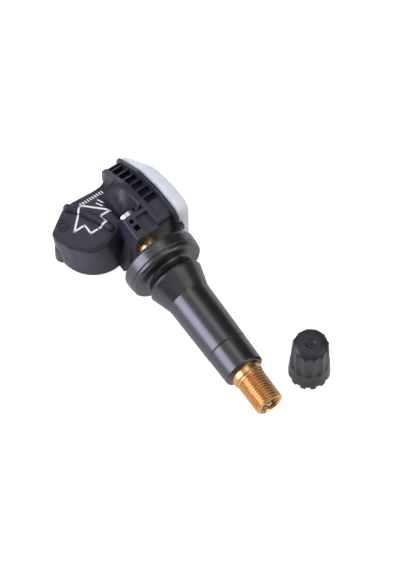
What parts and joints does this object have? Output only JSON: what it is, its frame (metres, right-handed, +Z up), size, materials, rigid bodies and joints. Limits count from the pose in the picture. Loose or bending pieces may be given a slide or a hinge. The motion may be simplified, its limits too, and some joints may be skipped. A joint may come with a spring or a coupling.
{
  "type": "tyre pressure sensor",
  "caption": "Snap-in tyre pressure sensor: moulded sensor body with milky cover, bolted to a rubber valve with a brass stem, its valve core, and a loose valve cap.",
  "frame": {"origin": "where the valve axis meets the front face of the rubber flange, which seats on the inside of the wheel rim", "axes": "+X along the valve axis to its tip, +Y out of the sensor's cover, +Z up from the surface that the sensor lies on"},
  "size_m": [0.0819, 0.0413, 0.0208],
  "materials": {
    "housing_nylon": "moulded, satin",
    "cover_nylon": "milky, welded",
    "filter_membrane": "felted",
    "board_laminate": "solder mask",
    "chip_resin": "moulded resin",
    "seal_rubber": "moulded",
    "seal_ptfe": "turned",
    "chip_ceramic": "sintered",
    "bright_steel": "plated",
    "ferrite": "sintered",
    "copper_wire": "enamelled",
    "bright_brass": "plated",
    "screw_steel": "zinc plated",
    "spring_steel": "drawn",
    "valve_rubber": "moulded, glossy",
    "stem_brass": "turned",
    "core_brass": "turned",
    "cap_plastic": "moulded"
  },
  "bodies": {
    "sensor": {"housing": "housing_nylon", "cover": "cover_nylon", "port_filter": "filter_membrane", "circuit_board": "board_laminate", "pressure_chip": "chip_resin", "port_seal": "seal_rubber", "board_components": "chip_ceramic", "crystal": "bright_steel", "coil_core": "ferrite", "coil_winding": "copper_wire", "antenna": "bright_brass", "coin_cell": "bright_steel", "upper_tab": "bright_steel", "lower_tab": "bright_steel", "mounting_screw": "screw_steel", "rubber_body": "valve_rubber", "valve_stem": "stem_brass", "core_plug": "core_brass", "core_barrel": "core_brass", "core_barrel_seal": "seal_ptfe", "core_spring": "spring_steel", "valve_cap": "cap_plastic", "cap_seal": "seal_rubber"},
    "pin": {"core_pin": "core_brass", "core_cup": "core_brass", "core_cup_seal": "seal_rubber"}
  },
  "joints": [
    {"name": "pin_press", "type": "slide", "parent": "sensor", "child": "pin", "axis": [-1, 0, 0], "range_m": [0, 0.0015], "stiffness_N_per_m": 800, "springref_m": -0.002, "deforming": ["core_spring"]}
  ]
}
